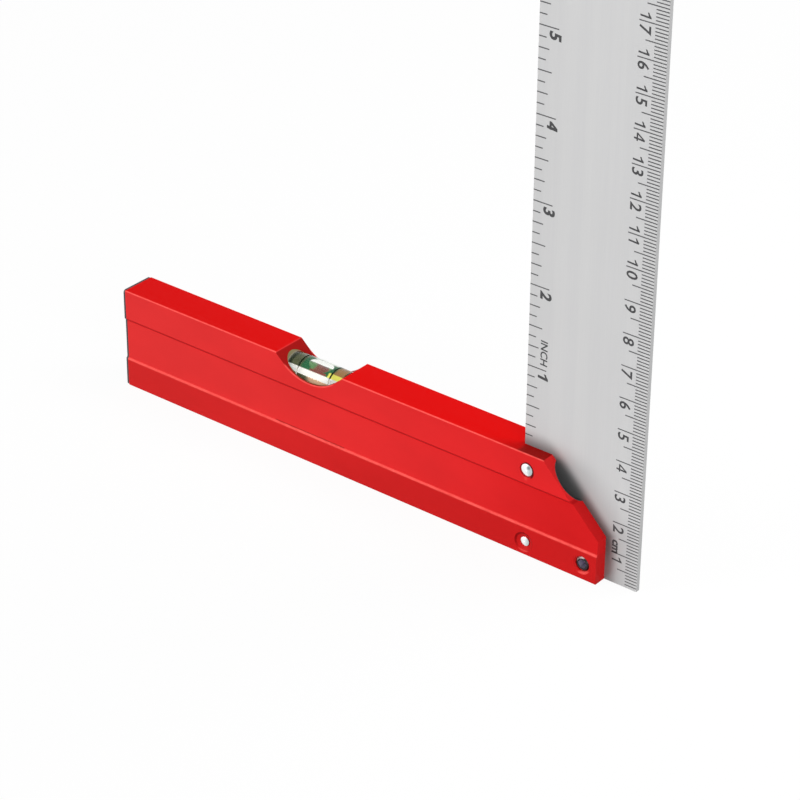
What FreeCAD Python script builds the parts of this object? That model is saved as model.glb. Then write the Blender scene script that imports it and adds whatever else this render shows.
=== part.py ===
import FreeCAD, Part
import math
import os

# Carpenter's try square with a level in its handle, in millimetres.
# The handle lies along X and the blade stands up from its +X end.
# The origin is under the middle of the whole outline, on the handle's underside.
# The face with the set screw looks towards -Y.

# Handle: one drawn aluminium bar, finished to length with its cap on
handle_length = 180.4
handle_height = 33.5
handle_thickness = 12.0
edge_radius = 0.3
mitre_size = 19.5

# Long shallow panel with sloped sides on both faces, between an upper and a lower band
upper_band_height = 9.9
lower_band_height = 9.55
panel_depth = 0.45
panel_side_angle = 45.0
panel_edge_radius = 0.2

# Round bore along the bar, which holds the vial
bore_diameter = 9.7
bore_below_top = 6.25
bore_behind_front = 5.6

# Window milled across the top, over the vial: straight flanks and a round bottom
window_width = 25.9
window_depth = 6.3
window_flank_angle = 42.0
window_from_end = 105.4

# Blade: one strip of aluminium, flush with the underside of the handle
blade_length = 300.0
blade_width = 40.0
blade_thickness = 1.5
blade_overhang = 11.0
blade_behind_front = 4.4

# End cap: a plastic plate with a plug that fills the end of the bore
cap_thickness = 0.7
cap_corner_radius = 0.9
cap_plug_length = 7.0
cap_plug_lead_in = 0.5

# Vial: an acrylic barrel with a crowned chamber, its plug, two rings and the liquid
vial_length = 31.0
vial_from_end = 104.9
chamber_length = 21.0
chamber_diameter = 6.6
chamber_crown = 0.12
vial_edge_chamfer = 0.4
ring_spacing = 12.1
ring_width = 0.5
ring_depth = 0.15
bubble_length = 8.7
bubble_width = 5.0
bubble_depth = 2.3

# Two pins that rivet the blade in its slot
upper_pin_diameter = 3.85
upper_pin_below_top = 5.45
lower_pin_diameter = 2.9
lower_pin_height = 4.1
pins_from_blade_edge = 3.8
upper_sink_diameter = 4.8
lower_sink_diameter = 6.1
upper_sink_depth = 0.45
lower_sink_depth = 1.0
upper_pin_sunk = 0.1
lower_pin_sunk = 0.35
pin_dome_height = 0.25

# Set screw that bears on the blade, with its hexagon socket
screw_diameter = 4.8
screw_from_end = 5.0
screw_height = 4.8
screw_sunk = 0.5
screw_chamfer = 0.6
socket_across_flats = 2.5
socket_depth = 2.2
hole_lip_chamfer = 0.45

# How far a cutting shape runs past the face that it opens
overrun = 1.0

# Two places closer than this are one place
same_place = 1e-6

# Places worked out from the sizes above
overall_length = handle_length + blade_overhang
left_end = -overall_length / 2
bar_start = left_end + cap_thickness
handle_end = left_end + handle_length
front_face = -handle_thickness / 2
back_face = handle_thickness / 2
panel_bottom = lower_band_height
panel_top = handle_height - upper_band_height
bore_y = front_face + bore_behind_front
bore_z = handle_height - bore_below_top
bore_radius = bore_diameter / 2
blade_front = front_face + blade_behind_front
blade_back = blade_front + blade_thickness
blade_right = handle_end + blade_overhang
blade_left = blade_right - blade_width
window_x = handle_end - window_from_end
vial_x = handle_end - vial_from_end
chamber_radius = chamber_diameter / 2
vial_left = vial_x - vial_length / 2
vial_right = vial_x + vial_length / 2
chamber_left = vial_x - chamber_length / 2
chamber_right = vial_x + chamber_length / 2
pins_x = blade_left + pins_from_blade_edge
upper_pin_z = handle_height - upper_pin_below_top
screw_x = handle_end - screw_from_end

along_x = FreeCAD.Vector(1, 0, 0)
along_y = FreeCAD.Vector(0, 1, 0)


def box(x_range, y_range, z_range):
    """A block between two values on each axis."""
    size = [high - low for low, high in (x_range, y_range, z_range)]
    corner = FreeCAD.Vector(x_range[0], y_range[0], z_range[0])
    return Part.makeBox(size[0], size[1], size[2], corner)


def rod_along_x(x_range, y, z, radius):
    """A round rod parallel to the handle."""
    return Part.makeCylinder(radius, x_range[1] - x_range[0], FreeCAD.Vector(x_range[0], y, z), along_x)


def rod_along_y(x, y_range, z, radius):
    """A round rod across the handle."""
    return Part.makeCylinder(radius, y_range[1] - y_range[0], FreeCAD.Vector(x, y_range[0], z), along_y)


def cone_along_y(x, y_range, z, first_radius, second_radius):
    """A cone across the handle, used for lips and lead-ins."""
    start = FreeCAD.Vector(x, y_range[0], z)
    return Part.makeCone(first_radius, second_radius, y_range[1] - y_range[0], start, along_y)


def bar_section(x_range, corner_radius):
    """The drawn section with a shallow panel on both sides, between two values of X."""
    panel_y = back_face - panel_depth
    side_rise = panel_depth / math.tan(math.radians(panel_side_angle))
    right_half = [
        (back_face, 0),
        (back_face, panel_bottom),
        (panel_y, panel_bottom + side_rise),
        (panel_y, panel_top - side_rise),
        (back_face, panel_top),
        (back_face, handle_height),
    ]
    left_half = [(-y, z) for y, z in reversed(right_half)]
    corners = [FreeCAD.Vector(x_range[0], y, z) for y, z in right_half + left_half]
    face = Part.Face(Part.makePolygon(corners + corners[:1]))
    bar = face.extrude(along_x * (x_range[1] - x_range[0]))
    outer = long_edges(bar, (0, handle_height))
    bar = bar.makeFillet(corner_radius, outer)
    ledges = long_edges(bar, (panel_bottom, panel_top))
    return bar.makeFillet(panel_edge_radius, ledges)


def long_edges(bar, heights):
    """The edges along X on the bar's two outer faces, at the heights given."""
    found = []
    for edge in bar.Edges:
        first = edge.Vertexes[0].Point
        last = edge.Vertexes[-1].Point
        runs_along_x = abs(first.x - last.x) > same_place
        on_outer_face = abs(abs(first.y) - back_face) < same_place
        at_height = any(abs(first.z - height) < same_place for height in heights)
        if runs_along_x and on_outer_face and at_height:
            found.append(edge)
    return found


def mitre_wedge():
    """The corner that is cut off at 45 degrees above the handle's right end."""
    corner = FreeCAD.Vector(handle_end + overrun, front_face - overrun, handle_height + overrun)
    side = mitre_size + 2 * overrun
    points = [corner, corner - along_x * side, corner - FreeCAD.Vector(0, 0, side)]
    face = Part.Face(Part.makePolygon(points + points[:1]))
    return face.extrude(along_y * (handle_thickness + 2 * overrun))


def window_cutter():
    """A prism across the handle: two straight flanks that run into a round bottom."""
    slope = math.radians(window_flank_angle)
    point_depth = window_width / 2 * math.tan(slope)
    radius = (point_depth - window_depth) / (1 / math.cos(slope) - 1)
    bottom_z = handle_height - window_depth
    arc_reach = radius * math.sin(slope)
    arc_z = bottom_z + radius * (1 - math.cos(slope))
    top_z = handle_height + overrun
    top_reach = window_width / 2 + overrun / math.tan(slope)
    y = front_face - overrun
    high_left = FreeCAD.Vector(window_x - top_reach, y, top_z)
    arc_left = FreeCAD.Vector(window_x - arc_reach, y, arc_z)
    bottom = FreeCAD.Vector(window_x, y, bottom_z)
    arc_right = FreeCAD.Vector(window_x + arc_reach, y, arc_z)
    high_right = FreeCAD.Vector(window_x + top_reach, y, top_z)
    outline = Part.Wire([
        Part.makeLine(high_left, arc_left),
        Part.Arc(arc_left, bottom, arc_right).toShape(),
        Part.makeLine(arc_right, high_right),
        Part.makeLine(high_right, high_left),
    ])
    return Part.Face(outline).extrude(along_y * (handle_thickness + 2 * overrun))


def pin_holes(z, pin_radius, sink_radius, sink_depth):
    """A through hole for one pin, countersunk on both faces."""
    hole = rod_along_y(pins_x, (front_face - overrun, back_face + overrun), z, pin_radius)
    front = cone_along_y(pins_x, (front_face, front_face + sink_depth), z, sink_radius, pin_radius)
    back = cone_along_y(pins_x, (back_face - sink_depth, back_face), z, pin_radius, sink_radius)
    return hole.fuse([front, back])


def screw_hole():
    """The tapped hole from the front face to the blade, with a bevelled lip."""
    radius = screw_diameter / 2
    hole = rod_along_y(screw_x, (front_face - overrun, blade_front), screw_height, radius)
    lip_reach = hole_lip_chamfer + overrun
    lip_start = front_face - overrun
    lip = cone_along_y(
        screw_x, (lip_start, front_face + hole_lip_chamfer), screw_height, radius + lip_reach, radius
    )
    return hole.fuse(lip)


def make_handle():
    """The bar with its bore, window, blade slot, mitre and fastener holes."""
    bar = bar_section((bar_start, handle_end), edge_radius)
    bore = rod_along_x((bar_start - overrun, handle_end + overrun), bore_y, bore_z, bore_radius)
    slot = box(
        (blade_left, handle_end + overrun),
        (blade_front, blade_back),
        (-overrun, handle_height + overrun),
    )
    cutters = [
        bore,
        slot,
        mitre_wedge(),
        window_cutter(),
        pin_holes(upper_pin_z, upper_pin_diameter / 2, upper_sink_diameter / 2, upper_sink_depth),
        pin_holes(lower_pin_height, lower_pin_diameter / 2, lower_sink_diameter / 2, lower_sink_depth),
        screw_hole(),
    ]
    for cutter in cutters:
        bar = bar.cut(cutter)
    return bar


def make_blade():
    """The graduated strip, with a hole for each pin."""
    strip = box((blade_left, blade_right), (blade_front, blade_back), (0, blade_length))
    through = (blade_front - overrun, blade_back + overrun)
    for z, diameter in ((upper_pin_z, upper_pin_diameter), (lower_pin_height, lower_pin_diameter)):
        strip = strip.cut(rod_along_y(pins_x, through, z, diameter / 2))
    return strip


def make_end_cap():
    """A plate of the bar's own section, with a plug that goes into the bore."""
    plate = bar_section((left_end, bar_start), cap_corner_radius)
    tip = bar_start + cap_plug_length
    shoulder = tip - cap_plug_lead_in
    plug = rod_along_x((bar_start, shoulder), bore_y, bore_z, bore_radius)
    lead_in = Part.makeCone(
        bore_radius,
        bore_radius - cap_plug_lead_in,
        cap_plug_lead_in,
        FreeCAD.Vector(shoulder, bore_y, bore_z),
        along_x,
    )
    return plate.fuse([plug, lead_in]).removeSplitter()


def chamber():
    """The crowned hollow of the vial, as a solid turned about the vial's axis."""
    low_left = FreeCAD.Vector(chamber_left, bore_y, bore_z)
    low_right = FreeCAD.Vector(chamber_right, bore_y, bore_z)
    high_left = low_left + FreeCAD.Vector(0, 0, chamber_radius)
    high_right = low_right + FreeCAD.Vector(0, 0, chamber_radius)
    crown = FreeCAD.Vector(vial_x, bore_y, bore_z + chamber_radius + chamber_crown)
    outline = Part.Wire([
        Part.makeLine(low_left, high_left),
        Part.Arc(high_left, crown, high_right).toShape(),
        Part.makeLine(high_right, low_right),
        Part.makeLine(low_right, low_left),
    ])
    return Part.Face(outline).revolve(low_left, along_x, 360)


def bubble():
    """The air bubble, a long egg turned about its own axis that breaks the chamber's ceiling."""
    half_length = bubble_length / 2
    half_width = bubble_width / 2
    oval = Part.Ellipse(FreeCAD.Vector(0, 0, 0), half_length, half_width)
    outline = Part.Wire([
        Part.ArcOfEllipse(oval, 0, math.pi).toShape(),
        Part.makeLine(along_x * -half_length, along_x * half_length),
    ])
    egg = Part.Face(outline).revolve(FreeCAD.Vector(0, 0, 0), along_x, 360)
    ceiling = bore_z + chamber_radius + chamber_crown
    egg.translate(FreeCAD.Vector(vial_x, bore_y, ceiling - bubble_depth + half_width))
    return egg


def ring_band(centre_x):
    """One reference ring, let into the outside of the vial."""
    reach = (centre_x - ring_width / 2, centre_x + ring_width / 2)
    outer = rod_along_x(reach, bore_y, bore_z, bore_radius)
    return outer.cut(rod_along_x(reach, bore_y, bore_z, bore_radius - ring_depth))


def make_vial_body():
    """The acrylic barrel: chamber, plug seat and two ring grooves."""
    barrel = rod_along_x((vial_left, vial_right), bore_y, bore_z, bore_radius)
    end_edges = [edge for edge in barrel.Edges if isinstance(edge.Curve, Part.Circle)]
    barrel = barrel.makeChamfer(vial_edge_chamfer, end_edges)
    seat = rod_along_x((chamber_right, vial_right + overrun), bore_y, bore_z, chamber_radius)
    barrel = barrel.cut(chamber()).cut(seat)
    for side in (-1, 1):
        barrel = barrel.cut(ring_band(vial_x + side * ring_spacing / 2))
    return barrel


def make_vial_plug():
    """The acrylic plug that seals the chamber."""
    return rod_along_x((chamber_right, vial_right), bore_y, bore_z, chamber_radius)


def make_vial_fluid():
    """The level liquid, which fills the chamber round its bubble."""
    return chamber().cut(bubble())


def make_pin(z, radius, sunk):
    """A straight pin across the handle with a low dome on each end."""
    first = front_face + sunk
    last = back_face - sunk
    dome_radius = (radius ** 2 + pin_dome_height ** 2) / (2 * pin_dome_height)
    half_angle = math.asin(radius / dome_radius) / 2
    halfway = dome_radius * math.sin(half_angle)
    rise = dome_radius * (1 - math.cos(half_angle))
    first_tip = FreeCAD.Vector(pins_x, first, z)
    last_tip = FreeCAD.Vector(pins_x, last, z)
    first_rim = FreeCAD.Vector(pins_x + radius, first + pin_dome_height, z)
    last_rim = FreeCAD.Vector(pins_x + radius, last - pin_dome_height, z)
    first_bulge = FreeCAD.Vector(pins_x + halfway, first + rise, z)
    last_bulge = FreeCAD.Vector(pins_x + halfway, last - rise, z)
    outline = Part.Wire([
        Part.Arc(first_tip, first_bulge, first_rim).toShape(),
        Part.makeLine(first_rim, last_rim),
        Part.Arc(last_rim, last_bulge, last_tip).toShape(),
        Part.makeLine(last_tip, first_tip),
    ])
    return Part.Face(outline).revolve(first_tip, along_y, 360)


def hexagon_prism(x, z, y_range, across_flats):
    """A hexagon across the handle, for the screw's socket."""
    radius = across_flats / math.sqrt(3)
    corners = []
    for step in range(6):
        angle = math.radians(60 * step)
        corner_x = x + radius * math.cos(angle)
        corner_z = z + radius * math.sin(angle)
        corners.append(FreeCAD.Vector(corner_x, y_range[0], corner_z))
    face = Part.Face(Part.makePolygon(corners + corners[:1]))
    return face.extrude(along_y * (y_range[1] - y_range[0]))


def make_set_screw():
    """The headless screw, from just inside the front face to the blade."""
    head = front_face + screw_sunk
    screw = rod_along_y(screw_x, (head, blade_front), screw_height, screw_diameter / 2)
    rims = [edge for edge in screw.Edges if isinstance(edge.Curve, Part.Circle)]
    screw = screw.makeChamfer(screw_chamfer, rims)
    socket_reach = (head - overrun, head + socket_depth)
    socket = hexagon_prism(screw_x, screw_height, socket_reach, socket_across_flats)
    return screw.cut(socket)


pieces = {
    "handle": make_handle(),
    "blade": make_blade(),
    "end_cap": make_end_cap(),
    "vial_body": make_vial_body(),
    "vial_plug": make_vial_plug(),
    "vial_fluid": make_vial_fluid(),
    "vial_ring_left": ring_band(vial_x - ring_spacing / 2),
    "vial_ring_right": ring_band(vial_x + ring_spacing / 2),
    "upper_pin": make_pin(upper_pin_z, upper_pin_diameter / 2, upper_pin_sunk),
    "lower_pin": make_pin(lower_pin_height, lower_pin_diameter / 2, lower_pin_sunk),
    "set_screw": make_set_screw(),
}

os.makedirs("parts", exist_ok=True)
for name, shape in pieces.items():
    solids = shape.Solids
    if not shape.isValid() or len(solids) != 1:
        raise ValueError(f"{name} is not one valid solid")
    solids[0].exportStep(f"parts/{name}.step")
    print(f"{name}: {shape.Volume:.1f} mm3")
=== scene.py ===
import bmesh
import bpy
import math
from mathutils import Matrix, Vector


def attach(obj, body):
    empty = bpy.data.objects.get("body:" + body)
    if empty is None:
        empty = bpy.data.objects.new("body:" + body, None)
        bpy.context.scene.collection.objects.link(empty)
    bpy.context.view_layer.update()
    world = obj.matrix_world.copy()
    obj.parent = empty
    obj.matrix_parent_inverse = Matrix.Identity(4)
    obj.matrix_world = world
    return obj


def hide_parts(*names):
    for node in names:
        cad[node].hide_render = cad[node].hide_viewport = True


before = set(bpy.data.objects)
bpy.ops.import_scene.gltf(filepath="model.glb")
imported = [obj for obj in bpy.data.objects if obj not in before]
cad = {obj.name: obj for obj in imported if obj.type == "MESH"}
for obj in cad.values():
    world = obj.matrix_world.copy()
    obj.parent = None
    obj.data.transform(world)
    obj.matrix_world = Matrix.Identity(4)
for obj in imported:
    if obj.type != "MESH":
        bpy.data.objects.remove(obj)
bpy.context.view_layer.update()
scene = bpy.context.scene
scene.view_settings.view_transform = "Standard"
mm = 0.001


# Colours are written as on screen, from 0 to 255
def paint(red, green, blue):
    def straight(value):
        share = value / 255
        if share <= 0.04045:
            return share / 12.92
        return ((share + 0.055) / 1.055) ** 2.4
    return (straight(red), straight(green), straight(blue), 1.0)


# Small helpers that lay down shader nodes
def startMaterial(name):
    material = bpy.data.materials.new(name)
    material.use_nodes = True
    tree = material.node_tree
    tree.nodes.clear()
    output = tree.nodes.new("ShaderNodeOutputMaterial")
    shader = tree.nodes.new("ShaderNodeBsdfPrincipled")
    tree.links.new(shader.outputs["BSDF"], output.inputs["Surface"])
    return material, tree, shader


def feed(tree, socket, value):
    if isinstance(value, bpy.types.NodeSocket):
        tree.links.new(value, socket)
    else:
        socket.default_value = value


def calc(tree, operation, first, second=0.0, third=0.0):
    node = tree.nodes.new("ShaderNodeMath")
    node.operation = operation
    feed(tree, node.inputs[0], first)
    feed(tree, node.inputs[1], second)
    feed(tree, node.inputs[2], third)
    return node.outputs[0]


def fade(tree, value, low, high, lowOut, highOut):
    node = tree.nodes.new("ShaderNodeMapRange")
    node.interpolation_type = "SMOOTHSTEP"
    feed(tree, node.inputs["Value"], value)
    feed(tree, node.inputs["From Min"], low)
    feed(tree, node.inputs["From Max"], high)
    feed(tree, node.inputs["To Min"], lowOut)
    feed(tree, node.inputs["To Max"], highOut)
    return node.outputs["Result"]


# A noise value, which keeps near its middle, spread over the given outputs
def spread(tree, noise, lowOut, highOut):
    return fade(tree, noise, 0.3, 0.7, lowOut, highOut)


# One up to a value, then nothing: how far the fade starts before it and ends past it is given
def upTo(tree, value, limit, before, past):
    return fade(tree, value, limit - before, limit + past, 1.0, 0.0)


def place(tree):
    return tree.nodes.new("ShaderNodeTexCoord").outputs["Object"]


def grain(tree, vector, stretch, detail=2.0, roughness=0.5):
    mapping = tree.nodes.new("ShaderNodeMapping")
    mapping.inputs["Scale"].default_value = stretch
    feed(tree, mapping.inputs["Vector"], vector)
    node = tree.nodes.new("ShaderNodeTexNoise")
    node.inputs["Scale"].default_value = 1.0
    node.inputs["Detail"].default_value = detail
    node.inputs["Roughness"].default_value = roughness
    feed(tree, node.inputs["Vector"], mapping.outputs["Vector"])
    return node.outputs["Fac"]


def mixColour(tree, amount, first, second, mode="MIX"):
    node = tree.nodes.new("ShaderNodeMix")
    node.data_type = "RGBA"
    node.blend_type = mode
    feed(tree, node.inputs[0], amount)
    feed(tree, node.inputs[6], first)
    feed(tree, node.inputs[7], second)
    return node.outputs[2]


def darken(tree, colour, tone):
    shade = tree.nodes.new("ShaderNodeCombineColor")
    for channel in range(3):
        feed(tree, shade.inputs[channel], tone)
    return mixColour(tree, 1.0, colour, shade.outputs[0], "MULTIPLY")


def relief(tree, height, strength, distance, normal=None):
    node = tree.nodes.new("ShaderNodeBump")
    node.inputs["Strength"].default_value = strength
    node.inputs["Distance"].default_value = distance
    feed(tree, node.inputs["Height"], height)
    if normal is not None:
        feed(tree, node.inputs["Normal"], normal)
    return node.outputs["Normal"]


def splitAxes(tree, vector):
    node = tree.nodes.new("ShaderNodeSeparateXYZ")
    feed(tree, node.inputs[0], vector)
    return node.outputs[0], node.outputs[1], node.outputs[2]


def minus(tree, first, second):
    return calc(tree, "SUBTRACT", first, second)


def times(tree, *values):
    product = values[0]
    for value in values[1:]:
        product = calc(tree, "MULTIPLY", product, value)
    return product


def highest(tree, *values):
    most = values[0]
    for value in values[1:]:
        most = calc(tree, "MAXIMUM", most, value)
    return most


def lengthOf(tree, first, second):
    squares = calc(tree, "ADD", times(tree, first, first), times(tree, second, second))
    return calc(tree, "SQRT", squares)


def facing(tree):
    return splitAxes(tree, tree.nodes.new("ShaderNodeTexCoord").outputs["Normal"])


def dress(nodeNames, material):
    for name in nodeNames:
        data = cad[name].data
        data.materials.clear()
        data.materials.append(material)
        for polygon in data.polygons:
            polygon.material_index = 0


# Places on the object that the finishes and the marks follow, in metres
handle = {
    "height": 33.5 * mm,
    "halfThickness": 6.0 * mm,
    "panelBottom": 9.55 * mm,
    "panelTop": 23.6 * mm,
    "rightEnd": 84.7 * mm,
    "mitreSum": 98.7 * mm,
    "boreY": -0.4 * mm,
    "boreZ": 27.25 * mm,
    "boreRadius": 4.85 * mm,
    "windowX": -20.7 * mm,
    "windowReach": 13.0 * mm,
    "windowArcZ": 42.7 * mm,
    "windowArcRadius": 15.5 * mm,
    "windowArcReach": 10.4 * mm,
    "vialX": -20.2 * mm,
    "vialReach": 15.5 * mm,
    "screwX": 79.7 * mm,
    "screwZ": 4.8 * mm,
    "screwRadius": 2.4 * mm,
    "pinsX": 59.5 * mm,
    "upperPinZ": 28.05 * mm,
    "upperPinRadius": 1.925 * mm,
    "lowerPinZ": 4.1 * mm,
    "sinkRadius": 3.05 * mm,
}
blade = {
    "left": 55.7 * mm,
    "right": 95.7 * mm,
    "front": -1.6 * mm,
    "top": 300.0 * mm,
}

redCoat = {
    "colour": paint(222, 50, 50),
    # Painted shade: the coat darker towards the right end
    "right": paint(220, 37, 39),
    "deep": 0.93,
    # Painted light: faces that look up are a deeper red than the sides
    "upward": paint(222, 0, 0),
    # Painted shade: the lower band darker, near the floor
    "lower": paint(206, 38, 38),
    "lowerRight": paint(200, 29, 30),
    # Painted shade: the panel darker at its right end
    "panelRight": paint(206, 28, 30),
    # Painted shade on the slope under the upper band, which faces down
    "groove": paint(186, 24, 26),
    # Painted shadow: a dark line on the panel just under the upper band
    "line": paint(176, 16, 20),
    # Painted shade in the countersinks round the pins
    "gap": paint(72, 8, 12),
    "sinkRim": paint(136, 8, 12),
    "glow": paint(242, 84, 80),
    "window": paint(154, 16, 15),
    # Painted shade on the ledge in front of the blade, where the blade keeps light off
    "corner": paint(160, 16, 12),
    # Painted highlight along the edges, the screw's lip and the window's rim
    "worn": paint(255, 96, 90),
    "bare": paint(86, 86, 88),
    # Painted light: the bore wall olive-green near the vial, lit green by the liquid
    "besideVial": paint(112, 128, 80),
    "roughness": 0.42,
    "wornSmoother": 0.08,
    "specular": 0.03,
    "drawnLines": (60, 6500, 6500),
    "peel": (2600, 2600, 2600),
    "clouds": (32, 60, 60),
    "scuffs": (420, 900, 900),
}

# Where each mark on the coat starts and stops fading, as distances or as shares
coatMarks = {
    "topEdge": (0.12 * mm, 0.42 * mm),
    "ledgeEdge": (0.15 * mm, 0.65 * mm),
    "lip": (0.45 * mm, 0.8 * mm),
    "lipTilt": 0.35,
    "lipFoot": (-2.7 * mm, -1.9 * mm),
    "lipFront": (-1.0 * mm, 1.0 * mm),
    "rim": (0.15 * mm, 0.5 * mm),
    "rimSide": (-2.0 * mm, 0.0),
    "rimTop": (-3.5 * mm, -2.5 * mm),
    "brightShare": 0.8,
    "bore": (0.02 * mm, 0.12 * mm),
    "vialGreen": (-1.0 * mm, 2.0 * mm),
    "along": (-95 * mm, 85 * mm),
    "belowPanel": (-0.3 * mm, 0.1 * mm),
    "panelTop": (-0.3 * mm, 0.0),
    "panelRight": (30 * mm, 78 * mm),
    "grooveFacing": (-0.62, -0.4),
    "grooveFoot": (0.0, 2.0 * mm),
    "lineDrop": 0.25 * mm,
    "line": (0.3 * mm, 0.55 * mm),
    "lineShare": 0.8,
    "clouds": (0.35, 0.65),
    "upward": (0.72, 0.97),
    "flankFacing": (0.5, 0.62),
    "underTop": (-0.35 * mm, -0.1 * mm),
    "windowEnd": (0.0, 1.0 * mm),
    "ledgeStart": (-0.5 * mm, 1.5 * mm),
    "ledgeTop": (-0.1 * mm, -0.02 * mm),
}

pinMarks = {
    "gap": (0.65 * mm, 0.95 * mm),
    "gapTilt": 0.5,
    "gapSide": (0.0, 1.5 * mm),
    "gapShare": 0.95,
    "closeGap": (0.2 * mm, 0.45 * mm),
    "closeShare": 0.6,
    "glowDrop": 2.75 * mm,
    "glow": (0.1 * mm, 0.9 * mm),
    "glowShare": 0.4,
    "rimInset": 0.15 * mm,
    "rim": (0.15 * mm, 0.45 * mm),
    "rimTilt": 0.6,
    "rimSide": (-2.4 * mm, 2.6 * mm),
    "rimShares": (0.15, 0.95),
    "lowRim": (0.1 * mm, 0.4 * mm),
    "lowSide": (-2.9 * mm, -2.2 * mm),
    "lowShare": 0.5,
}


# How strong the painted highlight is, from 0 to 1: top edge and lower ledge, uneven like rubbed wear,
# and the lower part of the screw's lip and of the window's rim
def wornEdges(tree, spot, x, y, z):
    fromFace = minus(tree, calc(tree, "ABSOLUTE", y), handle["halfThickness"])
    toTop = lengthOf(tree, fromFace, minus(tree, z, handle["height"]))
    toLedge = lengthOf(tree, fromFace, minus(tree, z, handle["panelBottom"]))
    besideScrew = minus(tree, x, handle["screwX"])
    aboveScrew = minus(tree, z, handle["screwZ"])
    toScrew = minus(tree, lengthOf(tree, besideScrew, aboveScrew), handle["screwRadius"])
    lowRight = minus(tree, aboveScrew, times(tree, besideScrew, coatMarks["lipTilt"]))
    lip = times(
        tree,
        fade(tree, toScrew, *coatMarks["lip"], 1.0, 0.0),
        fade(tree, lowRight, *coatMarks["lipFoot"], coatMarks["brightShare"], 0.0),
        fade(tree, y, *coatMarks["lipFront"], 1.0, 0.0),
    )
    acrossWindow = minus(tree, x, handle["windowX"])
    fromArc = lengthOf(tree, acrossWindow, minus(tree, z, handle["windowArcZ"]))
    toRim = lengthOf(tree, fromFace, minus(tree, fromArc, handle["windowArcRadius"]))
    pastArc = minus(tree, calc(tree, "ABSOLUTE", acrossWindow), handle["windowArcReach"])
    rim = times(
        tree,
        fade(tree, toRim, *coatMarks["rim"], coatMarks["brightShare"], 0.0),
        fade(tree, pastArc, *coatMarks["rimSide"], 1.0, 0.0),
        fade(tree, minus(tree, z, handle["height"]), *coatMarks["rimTop"], 1.0, 0.0),
    )
    top = fade(tree, toTop, *coatMarks["topEdge"], 1.0, 0.0)
    ledge = fade(tree, toLedge, *coatMarks["ledgeEdge"], 1.0, 0.0)
    scuff = grain(tree, spot, redCoat["scuffs"], 4.0, 0.65)
    return times(tree, highest(tree, top, ledge, lip, rim), spread(tree, scuff, 0.6, 1.0))


# Colour by place, with painted shade: darker to the right, on the lower band, at the panel's right end,
# on the groove and in a line under the upper band, and in the corner before the blade; faces that look
# up are painted a deeper red by how light falls on them; darker in the window
def coatColour(tree, spot, x, z):
    upward = facing(tree)[2]
    aboveLedge = minus(tree, z, handle["panelBottom"])
    aboveTop = minus(tree, z, handle["height"])
    # Painted shade: darker towards the right end, away from the light
    along = fade(tree, x, *coatMarks["along"], 0.0, 1.0)
    below = fade(tree, aboveLedge, *coatMarks["belowPanel"], 1.0, 0.0)
    colour = mixColour(tree, along, redCoat["colour"], redCoat["right"])
    # Painted shade on the lower band
    lower = mixColour(tree, along, redCoat["lower"], redCoat["lowerRight"])
    colour = mixColour(tree, below, colour, lower)
    # Painted shade on the panel towards its right end
    inPanel = times(
        tree,
        fade(tree, minus(tree, z, handle["panelTop"]), *coatMarks["panelTop"], 1.0, 0.0),
        fade(tree, x, *coatMarks["panelRight"], 0.0, 1.0),
    )
    deepest = mixColour(tree, below, redCoat["panelRight"], redCoat["lowerRight"])
    colour = mixColour(tree, inPanel, colour, deepest)
    # Painted shade where the slope under the upper band faces down
    inGroove = times(
        tree,
        fade(tree, upward, *coatMarks["grooveFacing"], 1.0, 0.0),
        fade(tree, aboveLedge, *coatMarks["grooveFoot"], 0.0, 1.0),
    )
    colour = mixColour(tree, inGroove, colour, redCoat["groove"])
    # Painted shadow: a dark line just under the upper band
    fromLine = calc(tree, "ABSOLUTE", minus(tree, z, handle["panelTop"] - coatMarks["lineDrop"]))
    line = fade(tree, fromLine, *coatMarks["line"], coatMarks["lineShare"], 0.0)
    colour = mixColour(tree, line, colour, redCoat["line"])
    clouds = grain(tree, spot, redCoat["clouds"], 2.0, 0.5)
    colour = darken(tree, colour, fade(tree, clouds, *coatMarks["clouds"], 1.0, redCoat["deep"]))
    # Painted light: a deeper red where the face looks up, by how light falls on it
    onTop = fade(tree, upward, *coatMarks["upward"], 0.0, 1.0)
    colour = mixColour(tree, onTop, colour, redCoat["upward"])
    fromWindow = calc(tree, "ABSOLUTE", minus(tree, x, handle["windowX"]))
    inWindow = times(
        tree,
        fade(tree, upward, *coatMarks["flankFacing"], 0.0, 1.0),
        fade(tree, aboveTop, *coatMarks["underTop"], 1.0, 0.0),
        fade(tree, minus(tree, fromWindow, handle["windowReach"]), *coatMarks["windowEnd"], 1.0, 0.0),
    )
    colour = mixColour(tree, inWindow, colour, redCoat["window"])
    # Painted shade on the ledge in front of the blade
    onLedge = times(
        tree,
        fade(tree, minus(tree, x, blade["left"]), *coatMarks["ledgeStart"], 0.0, 1.0),
        fade(tree, aboveTop, *coatMarks["ledgeTop"], 0.0, 1.0),
    )
    return mixColour(tree, onLedge, colour, redCoat["corner"])


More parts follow.
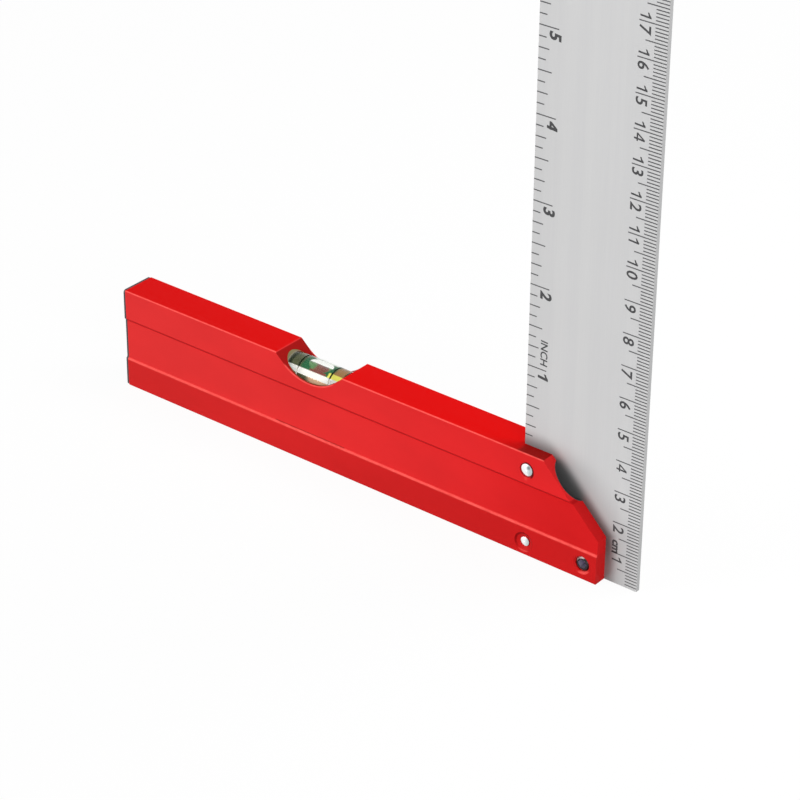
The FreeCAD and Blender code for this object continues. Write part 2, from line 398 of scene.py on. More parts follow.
# Painted shade in the gap round the upper pin and on the rim round the lower one, and a little painted
# highlight below both
def shadePins(tree, colour, x, z):
    beside = minus(tree, x, handle["pinsX"])
    above = minus(tree, z, handle["upperPinZ"])
    toPin = minus(tree, lengthOf(tree, beside, above), handle["upperPinRadius"])
    upRight = calc(tree, "ADD", beside, times(tree, above, pinMarks["gapTilt"]))
    # Painted shadow in the gap round the upper pin
    gap = times(
        tree,
        fade(tree, toPin, *pinMarks["gap"], 1.0, 0.0),
        fade(tree, upRight, *pinMarks["gapSide"], 0.0, pinMarks["gapShare"]),
    )
    closeGap = fade(tree, toPin, *pinMarks["closeGap"], pinMarks["closeShare"], 0.0)
    colour = mixColour(tree, highest(tree, gap, closeGap), colour, redCoat["gap"])
    toGlow = lengthOf(tree, beside, calc(tree, "ADD", above, pinMarks["glowDrop"]))
    glow = fade(tree, toGlow, *pinMarks["glow"], pinMarks["glowShare"], 0.0)
    colour = mixColour(tree, glow, colour, redCoat["glow"])
    above = minus(tree, z, handle["lowerPinZ"])
    fromPin = lengthOf(tree, beside, above)
    toRim = calc(tree, "ABSOLUTE", minus(tree, fromPin, handle["sinkRadius"] - pinMarks["rimInset"]))
    upLeft = minus(tree, above, times(tree, beside, pinMarks["rimTilt"]))
    # Painted shade on the rim round the lower pin
    rim = times(
        tree,
        fade(tree, toRim, *pinMarks["rim"], 1.0, 0.0),
        fade(tree, upLeft, *pinMarks["rimSide"], *pinMarks["rimShares"]),
    )
    colour = mixColour(tree, rim, colour, redCoat["sinkRim"])
    lowRim = times(
        tree,
        fade(tree, toRim, *pinMarks["lowRim"], 1.0, 0.0),
        fade(tree, above, *pinMarks["lowSide"], pinMarks["lowShare"], 0.0),
    )
    return mixColour(tree, lowRim, colour, redCoat["glow"])


# Red coat over drawn aluminium: fine lines along the bar and a slight orange peel, not in the bore
def makeRedCoat():
    material, tree, shader = startMaterial("handleRed")
    spot = place(tree)
    x, y, z = splitAxes(tree, spot)
    wear = wornEdges(tree, spot, x, y, z)
    # Painted highlight on the edges, broken up like wear; the worn coat is also smoother there
    colour = mixColour(tree, wear, coatColour(tree, spot, x, z), redCoat["worn"])
    colour = shadePins(tree, colour, x, z)
    fromBore = lengthOf(tree, minus(tree, y, handle["boreY"]), minus(tree, z, handle["boreZ"]))
    inBore = fade(tree, minus(tree, fromBore, handle["boreRadius"]), *coatMarks["bore"], 1.0, 0.0)
    # Painted light: olive-green on the bare bore wall beside the vial, from the liquid's green light
    fromVial = calc(tree, "ABSOLUTE", minus(tree, x, handle["vialX"]))
    pastVial = minus(tree, fromVial, handle["vialReach"])
    greened = fade(tree, pastVial, *coatMarks["vialGreen"], 1.0, 0.0)
    bare = mixColour(tree, greened, redCoat["bare"], redCoat["besideVial"])
    feed(tree, shader.inputs["Base Color"], mixColour(tree, inBore, colour, bare))
    drawn = grain(tree, spot, redCoat["drawnLines"], 3.0, 0.6)
    rough = spread(tree, drawn, redCoat["roughness"] - 0.05, redCoat["roughness"] + 0.06)
    smoother = times(tree, wear, redCoat["wornSmoother"])
    feed(tree, shader.inputs["Roughness"], minus(tree, rough, smoother))
    peel = grain(tree, spot, redCoat["peel"], 2.0, 0.5)
    normal = relief(tree, drawn, 0.12, 0.02 * mm)
    feed(tree, shader.inputs["Normal"], relief(tree, peel, 0.10, 0.03 * mm, normal))
    shader.inputs["Specular IOR Level"].default_value = redCoat["specular"]
    return material


satinBlade = {
    "colour": paint(199, 199, 199),
    "dark": paint(194, 194, 195),
    "left": 0.965,
    "leftReach": 14 * mm,
    # Painted shade: the outer edge face darker by how it faces the light
    "edge": 0.75,
    "edgeFacing": (0.5, 0.8),
    "roughness": 0.44,
    "metal": 0.3,
    "brushed": (9000, 9000, 70),
    "streaks": (260, 260, 3),
    "clouds": (70, 70, 40),
    "lowEnd": (-2.0 * mm, 6.0 * mm),
    "liftReach": (2.0 * mm, 12 * mm),
    "liftLeast": 0.45,
    # Painted shadow of the handle on the blade, close beside it and further out
    "near": (0.4 * mm, 4.4 * mm),
    "nearShare": 0.62,
    "wide": (0.0, 15 * mm),
    "wideShare": 0.28,
}


# Satin aluminium strip, brushed along its length, with painted shadow close beside the handle and
# painted shade on its outer edge face
def makeSatinBlade():
    material, tree, shader = startMaterial("bladeSatin")
    spot = place(tree)
    fine = grain(tree, spot, satinBlade["brushed"], 3.0, 0.6)
    wide = grain(tree, spot, satinBlade["streaks"], 2.0, 0.5)
    cloud = grain(tree, spot, satinBlade["clouds"], 3.0, 0.55)
    amount = calc(tree, "ADD", fade(tree, wide, 0.35, 0.65, 0.0, 0.4), spread(tree, fine, 0.0, 0.3))
    colour = mixColour(tree, amount, satinBlade["colour"], satinBlade["dark"])
    x, y, z = splitAxes(tree, spot)
    fromMitre = minus(tree, calc(tree, "ADD", x, z), handle["mitreSum"])
    pastEnd = minus(tree, x, handle["rightEnd"])
    beside = highest(tree, times(tree, fromMitre, math.sqrt(0.5)), pastEnd)
    low = fade(tree, minus(tree, z, handle["height"]), *satinBlade["lowEnd"], 1.0, 0.0)
    # Painted shadow close beside the handle and further out from it
    near = times(
        tree,
        low,
        fade(tree, z, *satinBlade["liftReach"], satinBlade["liftLeast"], 1.0),
        fade(tree, beside, *satinBlade["near"], satinBlade["nearShare"], 0.0),
    )
    further = times(tree, low, fade(tree, beside, *satinBlade["wide"], satinBlade["wideShare"], 0.0))
    # Tone: painted shadow beside the handle, a little darker near the left edge, painted shade on the
    # outer edge face
    tone = times(
        tree,
        calc(tree, "SUBTRACT", 1.0, near),
        calc(tree, "SUBTRACT", 1.0, further),
        fade(tree, minus(tree, x, blade["left"]), 0.0, satinBlade["leftReach"], satinBlade["left"], 1.0),
        fade(tree, facing(tree)[0], *satinBlade["edgeFacing"], 1.0, satinBlade["edge"]),
    )
    feed(tree, shader.inputs["Base Color"], darken(tree, colour, tone))
    rough = spread(tree, fine, satinBlade["roughness"] - 0.06, satinBlade["roughness"] + 0.06)
    rough = calc(tree, "ADD", rough, fade(tree, cloud, 0.4, 0.7, 0.0, 0.05))
    feed(tree, shader.inputs["Roughness"], rough)
    feed(tree, shader.inputs["Normal"], relief(tree, fine, 0.08, 0.01 * mm))
    shader.inputs["Metallic"].default_value = satinBlade["metal"]
    return material


capPlastic = {
    "colour": paint(52, 46, 50),
    "dark": paint(36, 32, 36),
    "roughness": (0.45, 0.62),
    "texture": (5200, 5200, 5200),
    "clouds": (160, 160, 160),
}


def makeCapPlastic():
    material, tree, shader = startMaterial("capPlastic")
    spot = place(tree)
    texture = grain(tree, spot, capPlastic["texture"], 3.0, 0.6)
    broad = grain(tree, spot, capPlastic["clouds"], 2.0, 0.5)
    colour = mixColour(tree, broad, capPlastic["colour"], capPlastic["dark"])
    feed(tree, shader.inputs["Base Color"], colour)
    feed(tree, shader.inputs["Roughness"], spread(tree, texture, *capPlastic["roughness"]))
    feed(tree, shader.inputs["Normal"], relief(tree, texture, 0.3, 0.03 * mm))
    return material


acrylic = {
    "clear": (0.97, 0.99, 0.95, 1.0),
    # Painted light: the matt end olive, the green light of the liquid
    "frosted": paint(136, 130, 88),
    "frostedFrom": -30.5 * mm,
    "frostedFade": 0.3 * mm,
    "frostedShare": 0.85,
    "frostedRougher": 0.3,
    "reflection": (0.35, 0.35, 0.35, 1.0),
    "ior": 1.49,
    "roughness": (0.01, 0.03),
    "haze": (900, 900, 900),
}


# Clear acrylic barrel with a matt end, its olive colour painted light: the green light of the liquid
def makeVialAcrylic():
    material, tree, shader = startMaterial("vialAcrylic")
    spot = place(tree)
    pastEnd = minus(tree, splitAxes(tree, spot)[0], acrylic["frostedFrom"])
    end = fade(tree, pastEnd, -acrylic["frostedFade"], acrylic["frostedFade"], 1.0, 0.0)
    colour = mixColour(tree, end, acrylic["clear"], acrylic["frosted"])
    feed(tree, shader.inputs["Base Color"], colour)
    clear = calc(tree, "SUBTRACT", 1.0, times(tree, end, acrylic["frostedShare"]))
    feed(tree, shader.inputs["Transmission Weight"], clear)
    haze = grain(tree, spot, acrylic["haze"], 2.0, 0.5)
    rough = spread(tree, haze, *acrylic["roughness"])
    rougher = times(tree, end, acrylic["frostedRougher"])
    feed(tree, shader.inputs["Roughness"], calc(tree, "ADD", rough, rougher))
    shader.inputs["Specular Tint"].default_value = acrylic["reflection"]
    shader.inputs["IOR"].default_value = acrylic["ior"]
    return material


speckles = (3000, 3000, 3000)


def makeInk(name, colour, dark, rough):
    material, tree, shader = startMaterial(name)
    speckle = grain(tree, place(tree), speckles, 3.0, 0.6)
    feed(tree, shader.inputs["Base Color"], mixColour(tree, speckle, colour, dark))
    feed(tree, shader.inputs["Roughness"], spread(tree, speckle, rough - 0.08, rough + 0.08))
    return material


ringInk = {
    "colour": paint(14, 30, 14),
    "dark": paint(24, 42, 22),
    # Painted highlight where the bright band crosses the rings
    "pale": paint(214, 210, 202),
    "paleShare": 0.85,
    "paleBelow": (math.radians(36), math.radians(44)),
    "roughness": (0.5, 0.66),
    "specular": 0.05,
}


# Rings on the barrel: green-black, with a pale painted highlight where the bright band crosses them
def makeRingInk():
    material, tree, shader = startMaterial("ringInk")
    spot = place(tree)
    x, y, z = splitAxes(tree, spot)
    speckle = grain(tree, spot, speckles, 3.0, 0.6)
    up = minus(tree, z, handle["boreZ"])
    forward = calc(tree, "SUBTRACT", handle["boreY"], y)
    around = calc(tree, "ARCTAN2", up, forward)
    washed = fade(tree, around, *ringInk["paleBelow"], ringInk["paleShare"], 0.0)
    colour = mixColour(tree, speckle, ringInk["colour"], ringInk["dark"])
    feed(tree, shader.inputs["Base Color"], mixColour(tree, washed, colour, ringInk["pale"]))
    feed(tree, shader.inputs["Roughness"], spread(tree, speckle, *ringInk["roughness"]))
    shader.inputs["Specular IOR Level"].default_value = ringInk["specular"]
    return material


pinSteel = {
    "bright": paint(248, 250, 250),
    "grey": paint(176, 190, 192),
    "greySide": (0.6 * mm, 2.0 * mm),
    "greyShare": 0.8,
    "uneven": 1.6 * mm,
    # Painted reflection: a small dark spot on the upper pin
    "dent": paint(120, 132, 132),
    "dentBeside": 0.7 * mm,
    "dentAbove": 0.95 * mm,
    "dentReach": (0.25 * mm, 0.8 * mm),
    "dentShare": 0.85,
    "roughness": 0.24,
    "dimples": (700, 700, 700),
}


# Bright peened ends of the two pins, each with a duller side, the upper one with a small painted dark
# reflection
def makePinSteel():
    material, tree, shader = startMaterial("pinSteel")
    spot = place(tree)
    x, y, z = splitAxes(tree, spot)
    dimple = grain(tree, spot, pinSteel["dimples"], 3.0, 0.6)
    across = minus(tree, x, handle["pinsX"])
    side = calc(tree, "ADD", across, times(tree, dimple, pinSteel["uneven"]))
    dull = fade(tree, side, *pinSteel["greySide"], 0.0, pinSteel["greyShare"])
    colour = mixColour(tree, dull, pinSteel["bright"], pinSteel["grey"])
    # Painted dark reflection on the upper pin
    fromDent = lengthOf(
        tree,
        minus(tree, across, pinSteel["dentBeside"]),
        minus(tree, z, handle["upperPinZ"] + pinSteel["dentAbove"]),
    )
    dent = fade(tree, fromDent, *pinSteel["dentReach"], pinSteel["dentShare"], 0.0)
    feed(tree, shader.inputs["Base Color"], mixColour(tree, dent, colour, pinSteel["dent"]))
    rough = spread(tree, dimple, pinSteel["roughness"] - 0.06, pinSteel["roughness"] + 0.1)
    feed(tree, shader.inputs["Roughness"], rough)
    feed(tree, shader.inputs["Normal"], relief(tree, dimple, 0.35, 0.08 * mm))
    shader.inputs["Metallic"].default_value = 1.0
    return material


screwBlack = {
    "colour": paint(46, 42, 48),
    "dark": paint(32, 30, 34),
    # Painted light: the socket pale where it lies in shade
    "socket": paint(168, 160, 178),
    "socketReach": (1.45 * mm, 1.55 * mm),
    "socketFront": (-5.49 * mm, -5.42 * mm),
    # Painted highlight on the rim's upper left
    "worn": paint(214, 210, 206),
    "wornTilt": 0.6,
    "wornSide": (1.3 * mm, 1.9 * mm),
    "wornShare": 0.8,
    "wornReach": (1.7 * mm, 1.85 * mm),
    "roughness": 0.34,
    "metal": 0.6,
    "flecks": (2200, 2200, 2200),
}


# Blackened steel: dark rim with a painted highlight on its upper left, and the socket painted pale,
# painted light where it lies in shade
def makeScrewBlack():
    material, tree, shader = startMaterial("screwBlack")
    spot = place(tree)
    x, y, z = splitAxes(tree, spot)
    fleck = grain(tree, spot, screwBlack["flecks"], 3.0, 0.6)
    across = minus(tree, x, handle["screwX"])
    up = minus(tree, z, handle["screwZ"])
    fromScrew = lengthOf(tree, across, up)
    # Painted light in the socket
    inside = times(
        tree,
        fade(tree, fromScrew, *screwBlack["socketReach"], 1.0, 0.0),
        fade(tree, y, *screwBlack["socketFront"], 0.0, 1.0),
    )
    # Painted highlight on the upper left of the rim
    upLeft = minus(tree, up, times(tree, across, screwBlack["wornTilt"]))
    worn = times(
        tree,
        fade(tree, upLeft, *screwBlack["wornSide"], 0.0, screwBlack["wornShare"]),
        fade(tree, fromScrew, *screwBlack["wornReach"], 0.0, 1.0),
    )
    colour = mixColour(tree, fleck, screwBlack["colour"], screwBlack["dark"])
    colour = mixColour(tree, inside, colour, screwBlack["socket"])
    feed(tree, shader.inputs["Base Color"], mixColour(tree, worn, colour, screwBlack["worn"]))
    rough = spread(tree, fleck, screwBlack["roughness"] - 0.06, screwBlack["roughness"] + 0.08)
    feed(tree, shader.inputs["Roughness"], rough)
    feed(tree, shader.inputs["Normal"], relief(tree, fleck, 0.2, 0.03 * mm))
    shader.inputs["Metallic"].default_value = screwBlack["metal"]
    return material


dress(["handle"], makeRedCoat())
dress(["blade"], makeSatinBlade())
dress(["end_cap"], makeCapPlastic())
dress(["vial_body", "vial_plug"], makeVialAcrylic())
blackInk = makeInk("blackInk", paint(44, 44, 46), paint(58, 58, 60), 0.6)
lineInk = makeInk("lineInk", paint(66, 66, 68), paint(80, 80, 82), 0.6)
dress(["vial_ring_left", "vial_ring_right"], makeRingInk())
dress(["upper_pin", "lower_pin"], makePinSteel())
dress(["set_screw"], makeScrewBlack())
print("materials on", len(cad), "packed nodes")


# Level liquid in plain fields of colour: olive on the left, tan on the right, green beside the bubble, a
# yellow patch of painted light where the liquid is lit, painted reflection of the red handle in and
# under the bubble, a painted highlight band, a pale painted reflection over the bubble, painted shade at
# the chamber's ends
vialLiquid = {
    "middleX": -20.2 * mm,
    "axisY": -0.4 * mm,
    "axisZ": 27.25 * mm,
    "wallRadius": 3.25 * mm,
    "tight": 0.02 * mm,
    "halfLength": 10.5 * mm,
    "bandLow": math.radians(15),
    "bandHigh": math.radians(42),
    "belowHigh": math.radians(54),
    "patchHigh": math.radians(67),
    "crest": math.radians(118),
    "olive": paint(90, 95, 65),
    "green": paint(40, 110, 70),
    "tan": paint(175, 130, 80),
    # Painted light: the liquid yellow where it is lit
    "yellow": paint(255, 250, 110),
    "leaf": paint(100, 155, 95),
    # Painted reflection of the red handle, in and under the bubble
    "brown": paint(140, 75, 65),
    # Painted shade at the ends of the chamber
    "dark": paint(50, 60, 30),
    # Painted reflection: pale over the bubble
    "pale": paint(220, 230, 220),
    "blush": paint(235, 190, 155),
    # Painted highlight: the bright band on the front of the liquid
    "band": paint(255, 254, 250),
    "greenLeft": (-6.4 * mm, -5.4 * mm),
    "greenRight": (5.4 * mm, 6.4 * mm),
    "darkEnd": (9.3 * mm, 9.7 * mm),
    "patchLeft": (4.2 * mm, 4.6 * mm),
    "patchRight": (9.2 * mm, 9.5 * mm),
    "belowLeft": (-3.0 * mm, -1.8 * mm),
    "belowRight": (3.4 * mm, 3.9 * mm),
    "paleLeft": (-4.8 * mm, -4.2 * mm),
    "paleRight": (4.2 * mm, 4.8 * mm),
    "blushLeft": (-3.6 * mm, -1.2 * mm),
    "brownLeft": (-3.2 * mm, -2.2 * mm),
    "brownRight": (1.2 * mm, 2.2 * mm),
    "wallFade": 0.06 * mm,
    "swirl": (500, 1200, 1200),
    "sway": 0.8 * mm,
    "roughness": 0.12,
    "endReach": 0.01 * mm,
    "mergeDistance": 0.0001 * mm,
    "sharpFrom": math.radians(35),
}


# One between two soft edges, falling to nothing outside them
def between(tree, value, rising, falling):
    return times(tree, fade(tree, value, *rising, 0.0, 1.0), fade(tree, value, *falling, 1.0, 0.0))


def makeVialLiquid():
    material, tree, shader = startMaterial("vialLiquid")
    spot = place(tree)
    x, y, z = splitAxes(tree, spot)
    away = minus(tree, x, vialLiquid["middleX"])
    up = minus(tree, z, vialLiquid["axisZ"])
    back = minus(tree, y, vialLiquid["axisY"])
    around = calc(tree, "ARCTAN2", up, times(tree, back, -1.0))
    swirl = grain(tree, spot, vialLiquid["swirl"], 2.0, 0.5)
    sway = times(tree, minus(tree, swirl, 0.5), vialLiquid["sway"])
    bent = calc(tree, "ADD", away, sway)

    # Liquid from one end of the chamber to the other, with painted shade at its ends
    onLeft = fade(tree, bent, *vialLiquid["greenLeft"], 1.0, 0.0)
    onRight = fade(tree, bent, *vialLiquid["greenRight"], 0.0, 1.0)
    atEnd = fade(tree, calc(tree, "ABSOLUTE", bent), *vialLiquid["darkEnd"], 0.0, 1.0)
    liquid = mixColour(tree, onLeft, vialLiquid["green"], vialLiquid["olive"])
    liquid = mixColour(tree, onRight, liquid, vialLiquid["tan"])
    liquid = mixColour(tree, atEnd, liquid, vialLiquid["dark"])

    # Wall of the chamber: the yellow field of painted light, the painted reflection of the handle under
    # the bubble, the pale painted reflection over it, and the painted highlight band below them
    # Painted light: a yellow patch where the liquid is lit
    lowPatch = upTo(tree, around, vialLiquid["patchHigh"], 0.04, 0.04)
    patch = between(tree, bent, vialLiquid["patchLeft"], vialLiquid["patchRight"])
    wall = mixColour(tree, times(tree, lowPatch, patch), liquid, vialLiquid["yellow"])
    # Painted reflection of the red handle under the bubble
    lowBrown = upTo(tree, around, vialLiquid["belowHigh"], 0.05, 0.05)
    below = between(tree, bent, vialLiquid["belowLeft"], vialLiquid["belowRight"])
    wall = mixColour(tree, times(tree, lowBrown, below), wall, vialLiquid["brown"])
    # Painted reflection: pale over the crest of the bubble
    overBubble = between(tree, bent, vialLiquid["paleLeft"], vialLiquid["paleRight"])
    crestLine = mixColour(tree, overBubble, liquid, vialLiquid["pale"])
    pastCrest = fade(tree, around, vialLiquid["crest"], vialLiquid["crest"] + 0.1, 0.0, 1.0)
    wall = mixColour(tree, pastCrest, wall, crestLine)
    # Painted highlight: the bright band low on the front
    inBand = upTo(tree, around, vialLiquid["bandHigh"], 0.03, 0.05)
    wall = mixColour(tree, inBand, wall, vialLiquid["band"])
    towardsRight = fade(tree, bent, *vialLiquid["blushLeft"], 0.0, 1.0)
    under = mixColour(tree, towardsRight, vialLiquid["olive"], vialLiquid["blush"])
    wall = mixColour(tree, upTo(tree, around, vialLiquid["bandLow"], 0.05, 0.02), wall, under)

    # Face of the bubble: a painted reflection of the red handle between its two green ends
    inside = between(tree, bent, vialLiquid["brownLeft"], vialLiquid["brownRight"])
    bubble = mixColour(tree, inside, vialLiquid["leaf"], vialLiquid["brown"])
    toWall = minus(tree, lengthOf(tree, up, back), vialLiquid["wallRadius"])
    onWall = fade(tree, toWall, -vialLiquid["wallFade"], 0.0, 0.0, 1.0)
    feed(tree, shader.inputs["Base Color"], mixColour(tree, onWall, bubble, wall))
    shader.inputs["Roughness"].default_value = vialLiquid["roughness"]
    shader.inputs["Specular IOR Level"].default_value = 0.0
    return material


# Liquid as a mesh of its own, pressed slightly into the barrel so that no air shows between them
def makeLiquidPiece():
    mesh = bmesh.new()
    mesh.from_mesh(cad["vial_fluid"].data)
    bmesh.ops.remove_doubles(mesh, verts=mesh.verts, dist=vialLiquid["mergeDistance"])
    for vertex in mesh.verts:
        back = vertex.co.y - vialLiquid["axisY"]
        up = vertex.co.z - vialLiquid["axisZ"]
        radius = math.hypot(back, up)
        if radius > vialLiquid["wallRadius"]:
            grow = (radius + vialLiquid["tight"]) / radius
            vertex.co.y = vialLiquid["axisY"] + back * grow
            vertex.co.z = vialLiquid["axisZ"] + up * grow
        side = vertex.co.x - vialLiquid["middleX"]
        if abs(side) > vialLiquid["halfLength"] - vialLiquid["endReach"]:
            vertex.co.x += math.copysign(vialLiquid["tight"], side)
    for face in mesh.faces:
        face.smooth = True
    for edge in mesh.edges:
        edge.smooth = edge.calc_face_angle(0.0) < vialLiquid["sharpFrom"]
    piece = finishPiece("vial_liquid", mesh, makeVialLiquid())
    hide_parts("vial_fluid")


# Graduations: thin plates of ink that stand just proud of the blade
scale = {
    "proud": 0.015 * mm,
    "sunk": 0.01 * mm,
    "lineWidth": 0.33 * mm,
    "inchLineWidth": 0.34 * mm,
    "centimetre": 9.0 * mm,
    "halfCentimetre": 6.8 * mm,
    "millimetre": 4.0 * mm,
    "lastMillimetre": 299,
    "inchZero": 33.65 * mm,
    "inchLength": 25.4 * mm,
    "inchStep": 25.4 * mm / 8,
    "topMargin": 1.0 * mm,
    "inch": 6.4 * mm,
    "halfInch": 4.5 * mm,
    "quarterInch": 3.5 * mm,
    "eighthInch": 2.5 * mm,
}


def addLine(mesh, fromX, toX, z, width):
    depth = scale["proud"] + scale["sunk"]
    middle = Vector(((fromX + toX) / 2, blade["front"] - scale["proud"] + depth / 2, z))
    size = Matrix.Diagonal((abs(toX - fromX), depth, width, 1.0))
    bmesh.ops.create_cube(mesh, size=1.0, matrix=Matrix.Translation(middle) @ size)


def finishPiece(name, mesh, material):
    data = bpy.data.meshes.new(name)
    mesh.to_mesh(data)
    mesh.free()
    piece = bpy.data.objects.new(name, data)
    scene.collection.objects.link(piece)
    data.materials.append(material)
    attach(piece, "root")
    return piece


def makeCentimetreLines():
    mesh = bmesh.new()
    for step in range(1, scale["lastMillimetre"] + 1):
        reach = scale["millimetre"]
        if step % 5 == 0:
            reach = scale["halfCentimetre"]
        if step % 10 == 0:
            reach = scale["centimetre"]
        addLine(mesh, blade["right"] - reach, blade["right"], step * mm, scale["lineWidth"])
    return finishPiece("centimetre_lines", mesh, lineInk)


def makeInchLines():
    mesh = bmesh.new()
    step = 1
    while scale["inchZero"] + step * scale["inchStep"] < blade["top"] - scale["topMargin"]:
        reach = scale["eighthInch"]
        if step % 2 == 0:
            reach = scale["quarterInch"]
        if step % 4 == 0:
            reach = scale["halfInch"]
        if step % 8 == 0:
            reach = scale["inch"]
        z = scale["inchZero"] + step * scale["inchStep"]
        addLine(mesh, blade["left"], blade["left"] + reach, z, scale["inchLineWidth"])
        step += 1
    return finishPiece("inch_lines", mesh, lineInk)


makeLiquidPiece()
makeCentimetreLines()
makeInchLines()

numerals = {
    "slant": 0.07,
    "boldSlant": 0.11,
    "height": 3.4 * mm,
    "inchHeight": 3.45 * mm,
    "centimetreFoot": 8.75 * mm,
    "inchFoot": 3.6 * mm,
    "gapBelow": 0.9 * mm,
    "gapAbove": 1.15 * mm,
    "weight": 0.016,
    "boldWeight": 0.036,
    "stem": 0.15,
    "boldStem": 0.25,
    "digitGap": 0.6 * mm,
    "lastCentimetre": 29,
    "lastInch": 10,
    "centimetreWord": (14.3 * mm, 2.5 * mm),
    "inchWord": (68.3 * mm, 2.25 * mm),
    "inchWordFoot": 4.3 * mm,
}


# The digits one and four are drawn here: the built-in typeface has a bare stroke and a filled-in four
def drawOne(stem):
    return drawStrokes((
        ((0.36, 0.0), (0.36 + stem, 0.0), (0.36 + stem, 1.0), (0.36 + 0.1 * stem, 1.0),
         (0.24, 0.87), (0.06, 0.78), (0.06, 0.78 - 0.85 * stem), (0.36, 0.82 - 0.4 * stem)),
    ))


def drawFour(stem):
    bar = 0.24 + 0.85 * stem
    return drawStrokes((
        ((0.42, 0.0), (0.42 + stem, 0.0), (0.42 + stem, 1.0), (0.42, 1.0)),
        ((0.0, 0.24), (0.42, 0.24), (0.42, bar), (0.0, bar)),
        ((0.42 + stem, 0.24), (0.7, 0.24), (0.7, bar), (0.42 + stem, bar)),
        ((0.0, bar), (1.15 * stem, bar), (0.42, 1.0 - 1.4 * stem), (0.42, 1.0)),
    ))


def drawStrokes(outlines):
    mesh = bmesh.new()
    for outline in outlines:
        front = [mesh.verts.new((across, up, 0.5)) for across, up in outline]
        face = mesh.faces.new(front)
        sides = bmesh.ops.extrude_face_region(mesh, geom=[face])
        moved = [part for part in sides["geom"] if isinstance(part, bmesh.types.BMVert)]
        bmesh.ops.translate(mesh, vec=(0, 0, -1.0), verts=moved)
    bmesh.ops.recalc_face_normals(mesh, faces=mesh.faces)
    flat = bpy.data.meshes.new("digit")
    mesh.to_mesh(flat)
    mesh.free()
    return flat


# One word in the built-in typeface, one unit high
def drawWord(text, weight):
    curve = bpy.data.curves.new("word", "FONT")
    curve.body = text
    curve.size = 1.0 / capHeight
    curve.offset = weight / capHeight
    curve.resolution_u = 3
    curve.extrude = 0.5
    curve.fill_mode = "BOTH"
    holder = bpy.data.objects.new("word", curve)
    scene.collection.objects.link(holder)
    bpy.context.view_layer.update()
    flat = bpy.data.meshes.new_from_object(holder.evaluated_get(bpy.context.evaluated_depsgraph_get()))
    bpy.data.objects.remove(holder)
    bpy.data.curves.remove(curve)
    return flat


# One word or digit on the blade: reads downwards, tops towards the outer edge
def addWord(mesh, text, footX, startZ, height, bold=False, fromEnd=False):
    if text in ("1", "4"):
        draw = drawOne if text == "1" else drawFour
        flat = draw(numerals["boldStem"] if bold else numerals["stem"])
    else:
        flat = drawWord(text, numerals["boldWeight"] if bold else numerals["weight"])
    slant = numerals["boldSlant"] if bold else numerals["slant"]
    left = min(v.co.x for v in flat.vertices)
    right = max(v.co.x for v in flat.vertices)
    depth = scale["proud"] + scale["sunk"]
    width = (right - left) * height
    start = startZ + width if fromEnd else startZ
    turn = Matrix((
        (0.0, height, 0.0, footX),
        (0.0, 0.0, -depth, blade["front"] - scale["proud"] + depth / 2),
        (-height, -height * slant, 0.0, start + left * height),
        (0.0, 0.0, 0.0, 1.0),
    ))
    flat.transform(turn)
    mesh.from_mesh(flat)
    bpy.data.meshes.remove(flat)
    return width


# Height of a capital in the built-in typeface, for a size of 1
def measureCapital():
    curve = bpy.data.curves.new("word", "FONT")
    curve.body = "H"
    holder = bpy.data.objects.new("word", curve)
    scene.collection.objects.link(holder)
    bpy.context.view_layer.update()
    height = holder.dimensions.y
    bpy.data.objects.remove(holder)
    bpy.data.curves.remove(curve)
    return height


capHeight = measureCapital()


def makeCentimetreNumerals():
    mesh = bmesh.new()
    foot = blade["right"] - numerals["centimetreFoot"]
    for number in range(1, numerals["lastCentimetre"] + 1):
        z = number * 10 * mm
        digits = str(number)
        addWord(mesh, digits[-1], foot, z - numerals["gapBelow"], numerals["height"])
        if len(digits) == 2:
            above = z + numerals["gapAbove"]
            addWord(mesh, digits[0], foot, above, numerals["height"], fromEnd=True)
    addWord(mesh, "cm", foot, *numerals["centimetreWord"], bold=True)
    return finishPiece("centimetre_numerals", mesh, blackInk)


def makeInchNumerals():
    mesh = bmesh.new()
    foot = blade["left"] + numerals["inchFoot"]
    for number in range(1, numerals["lastInch"] + 1):
        start = scale["inchZero"] + number * scale["inchLength"] - numerals["gapBelow"]
        for digit in str(number):
            start -= addWord(mesh, digit, foot, start, numerals["inchHeight"], bold=True)
            start -= numerals["digitGap"]
    addWord(mesh, "INCH", blade["left"] + numerals["inchWordFoot"], *numerals["inchWord"])
    return finishPiece("inch_numerals", mesh, blackInk)


makeCentimetreNumerals()
makeInchNumerals()
print("graduations and numerals on the blade")


# Camera at the photograph's angle
cameraView = {
    "eye": Vector((462.208, -570.774, 449.024)) * mm,
    "right": Vector((0.7805127, 0.6250920, 0.0077444)),
    "up": Vector((-0.3169172, 0.3849753, 0.8668088)),
    "lens": 129.54,
    "sensor": 36.0,
    "clip": (0.01, 50.0),
}


def makeCamera():
    data = bpy.data.cameras.new("camera")
    data.lens = cameraView["lens"]
    data.sensor_width = cameraView["sensor"]
    data.clip_start, data.clip_end = cameraView["clip"]
    camera = bpy.data.objects.new("camera", data)
    scene.collection.objects.link(camera)
    right = cameraView["right"].normalized()
    up = cameraView["up"].normalized()
    back = right.cross(up)
    turn = Matrix((right, up, back)).transposed().to_4x4()
    camera.matrix_world = Matrix.Translation(cameraView["eye"]) @ turn
    scene.camera = camera


makeCamera()

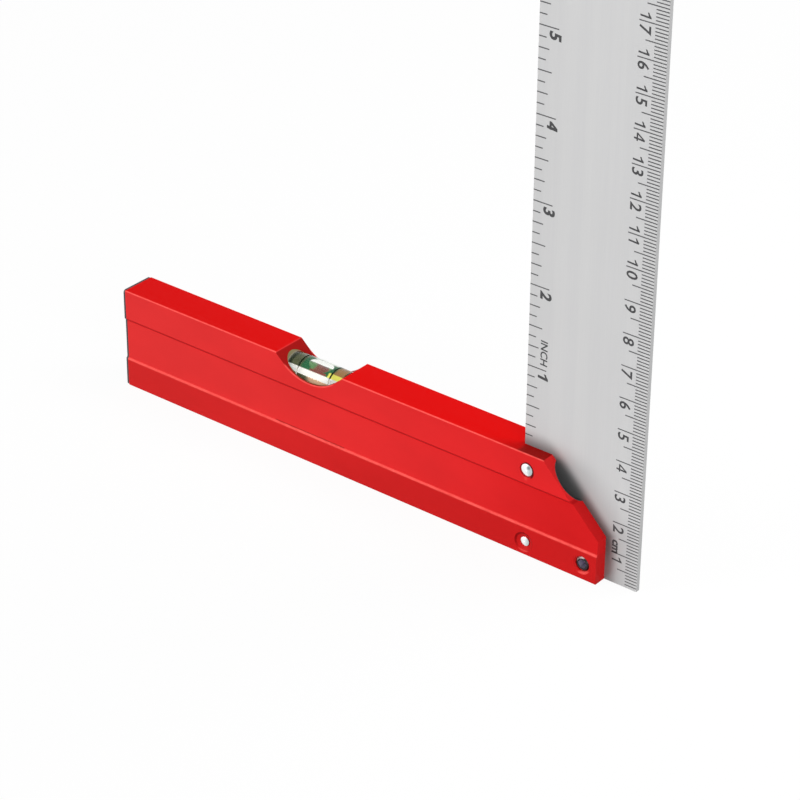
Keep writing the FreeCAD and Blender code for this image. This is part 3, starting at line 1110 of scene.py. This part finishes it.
light = {
    "sky": 0.35,
    "keyStrength": 1.97,
    "keyFrom": Vector((-0.60, -0.75, 0.26)),
    "keySoftness": math.radians(35),
    "sideStrength": 1.72,
    "sideFrom": Vector((0.85, -0.45, 0.25)),
    "sideSoftness": math.radians(40),
    "topEnergy": 1.2,
    "topPlace": Vector((0.24, 0.17, 0.45)),
    "topAim": Vector((0.02, 0.0, 0.03)),
    "topSize": 0.24,
    "floorWhite": 0.95,
    "floorHalf": 4.0,
    "floorDrop": 0.05 * mm,
    "floorPale": (1.0, 1.0, 1.0, 1.0),
    "floorBounce": (0.5, 0.5, 0.5, 1.0),
}


# Seen by the camera, in gloss and through glass, the surroundings are plain white
def seenDirectly(tree):
    path = tree.nodes.new("ShaderNodeLightPath")
    seen = ("Is Camera Ray", "Is Glossy Ray", "Is Transmission Ray")
    return highest(tree, *(path.outputs[name] for name in seen))


def makeWorld():
    world = bpy.data.worlds.new("studio")
    scene.world = world
    world.use_nodes = True
    tree = world.node_tree
    tree.nodes.clear()
    output = tree.nodes.new("ShaderNodeOutputWorld")
    plain = tree.nodes.new("ShaderNodeBackground")
    plain.inputs["Color"].default_value = (1.0, 1.0, 1.0, 1.0)
    plain.inputs["Strength"].default_value = light["sky"]
    white = tree.nodes.new("ShaderNodeBackground")
    white.inputs["Color"].default_value = (1.0, 1.0, 1.0, 1.0)
    white.inputs["Strength"].default_value = 1.0
    mix = tree.nodes.new("ShaderNodeMixShader")
    feed(tree, mix.inputs[0], seenDirectly(tree))
    tree.links.new(plain.outputs[0], mix.inputs[1])
    tree.links.new(white.outputs[0], mix.inputs[2])
    tree.links.new(mix.outputs[0], output.inputs["Surface"])


def makeFloor():
    mesh = bmesh.new()
    bmesh.ops.create_grid(mesh, x_segments=1, y_segments=1, size=light["floorHalf"])
    data = bpy.data.meshes.new("floor")
    mesh.to_mesh(data)
    mesh.free()
    data.transform(Matrix.Translation((0, 0, -light["floorDrop"])))
    floor = bpy.data.objects.new("floor", data)
    scene.collection.objects.link(floor)
    material = bpy.data.materials.new("floorPale")
    material.use_nodes = True
    tree = material.node_tree
    tree.nodes.clear()
    output = tree.nodes.new("ShaderNodeOutputMaterial")
    matt = tree.nodes.new("ShaderNodeBsdfDiffuse")
    pale = mixColour(tree, seenDirectly(tree), light["floorBounce"], light["floorPale"])
    feed(tree, matt.inputs["Color"], pale)
    white = tree.nodes.new("ShaderNodeEmission")
    white.inputs["Strength"].default_value = 1.0
    mix = tree.nodes.new("ShaderNodeMixShader")
    feed(tree, mix.inputs[0], times(tree, seenDirectly(tree), light["floorWhite"]))
    tree.links.new(matt.outputs[0], mix.inputs[1])
    tree.links.new(white.outputs[0], mix.inputs[2])
    tree.links.new(mix.outputs[0], output.inputs["Surface"])
    data.materials.append(material)


def addSun(name, strength, comesFrom, softness):
    data = bpy.data.lights.new(name, "SUN")
    data.energy = strength
    data.angle = softness
    lamp = bpy.data.objects.new(name, data)
    lamp.rotation_mode = "QUATERNION"
    lamp.rotation_quaternion = comesFrom.to_track_quat("Z", "Y")
    scene.collection.objects.link(lamp)


def makeLamps():
    addSun("key", light["keyStrength"], light["keyFrom"], light["keySoftness"])
    addSun("side", light["sideStrength"], light["sideFrom"], light["sideSoftness"])
    data = bpy.data.lights.new("top", "AREA")
    data.energy = light["topEnergy"]
    data.size = light["topSize"]
    lamp = bpy.data.objects.new("top", data)
    lamp.location = light["topPlace"]
    lamp.rotation_mode = "QUATERNION"
    lamp.rotation_quaternion = (light["topPlace"] - light["topAim"]).to_track_quat("Z", "Y")
    scene.collection.objects.link(lamp)


makeWorld()
makeFloor()
makeLamps()
print("camera, floor and lights")
